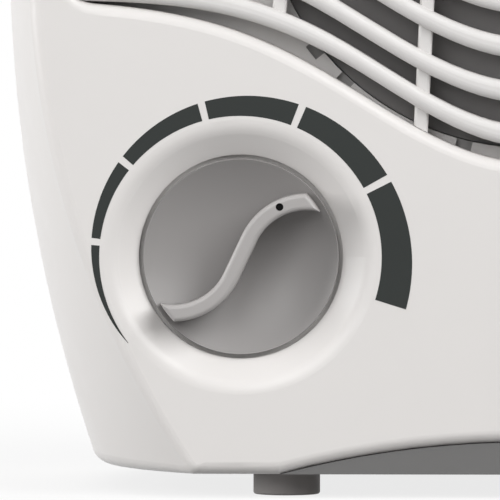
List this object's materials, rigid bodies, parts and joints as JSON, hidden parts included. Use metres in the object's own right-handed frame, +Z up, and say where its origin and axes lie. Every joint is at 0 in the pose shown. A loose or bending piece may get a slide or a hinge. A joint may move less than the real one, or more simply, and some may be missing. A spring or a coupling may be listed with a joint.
{
  "type": "fan heater",
  "caption": "Compact upright ceramic fan heater with a wave-shaped louvred outlet, round S-grip knobs, rear inlet guard and rubber feet.",
  "frame": {"origin": "on the surface the heater stands on, under the middle of its box", "axes": "+Z up; the warm air leaves towards -Y; +X is to the right as seen from the front"},
  "size_m": [0.221, 0.128, 0.243],
  "materials": {
    "housing_white": "fine satin moulded ABS",
    "grille_white": "smooth satin moulded plastic",
    "baffle_grey": "light grey heat-resistant plastic",
    "knob_grey": "smooth grey plastic",
    "duct_black": "black heat-resistant plastic",
    "duct_grey": "grey heat-resistant plastic",
    "frame_dark": "dark grey heat-resistant plastic",
    "trim_grey": "dark grey satin plastic",
    "fan_black": "black moulded plastic",
    "foot_rubber": "grey rubber",
    "bush_rubber": "black rubber",
    "heating_ceramic": "dull fired ceramic",
    "fin_aluminium": "dark anodised foil",
    "steel_plate": "zinc-plated sheet",
    "steel_dark": "blued laminations",
    "screw_steel": "zinc-plated steel",
    "brass_part": "plain brass",
    "copper_wire": "enamelled copper winding",
    "lens_amber": "translucent amber",
    "lamp_glass": "clear glass"
  },
  "bodies": {
    "housing": {"front_shell": "housing_white", "rear_shell": "housing_white", "outlet_grille": "grille_white", "chin_panel": "trim_grey", "inlet_grille": "grille_white", "housing_screws": "screw_steel", "baffle_plate": "baffle_grey", "air_duct": "duct_grey", "duct_screws": "screw_steel", "heater_frame": "frame_dark", "ceramic_strips": "heating_ceramic", "radiator_fins": "fin_aluminium", "heater_terminals": "brass_part", "thermal_cutout": "steel_plate", "thermal_fuse": "steel_plate", "motor_mount": "steel_plate", "motor_bracket_front": "steel_plate", "motor_bracket_rear": "steel_plate", "bearing_front": "brass_part", "bearing_rear": "brass_part", "motor_stator": "steel_dark", "motor_coil": "copper_wire", "motor_bolts": "screw_steel", "thermostat_bush": "brass_part", "thermostat_bracket": "steel_plate", "thermostat_body": "duct_black", "bimetal_blade": "steel_plate", "mode_switch_bush": "brass_part", "mode_switch_bracket": "steel_plate", "mode_switch_body": "duct_black", "mode_switch_terminals": "brass_part", "bracket_screws": "screw_steel", "indicator_lens": "lens_amber", "neon_lamp": "lamp_glass", "tip_spring": "screw_steel", "tip_switch_body": "duct_black", "cord_gland": "bush_rubber", "gland_nut": "duct_black", "terminal_block": "baffle_grey", "terminal_screws": "brass_part", "foot_front_left": "foot_rubber", "foot_front_right": "foot_rubber", "foot_rear_left": "foot_rubber", "foot_rear_right": "foot_rubber"},
    "fan_rotor": {"fan_impeller": "fan_black", "fan_shaft": "screw_steel", "motor_rotor_core": "steel_dark"},
    "thermostat_dial": {"thermostat_knob": "knob_grey", "thermostat_shaft": "brass_part"},
    "mode_dial": {"mode_knob": "knob_grey", "mode_shaft": "brass_part"},
    "tip_lever": {"tip_plunger": "baffle_grey"}
  },
  "joints": [
    {"name": "fan_spin", "type": "hinge", "parent": "housing", "child": "fan_rotor", "pos_m": [0, 0, 0.129], "axis": [0, -1, 0], "continuous": true},
    {"name": "thermostat_turn", "type": "hinge", "parent": "housing", "child": "thermostat_dial", "pos_m": [-0.0602, -0.055, 0.0503], "axis": [0, -1, 0], "range_deg": [-69.5, 165.5]},
    {"name": "mode_turn", "type": "hinge", "parent": "housing", "child": "mode_dial", "pos_m": [0.0602, -0.055, 0.0503], "axis": [0, -1, 0], "range_deg": [-135, 0]},
    {"name": "tip_slide", "type": "slide", "parent": "housing", "child": "tip_lever", "axis": [0, 0, -1], "range_m": [0, 0.004], "stiffness_N_per_m": 60, "springref_m": 0.008, "deforming": ["tip_spring"]}
  ]
}
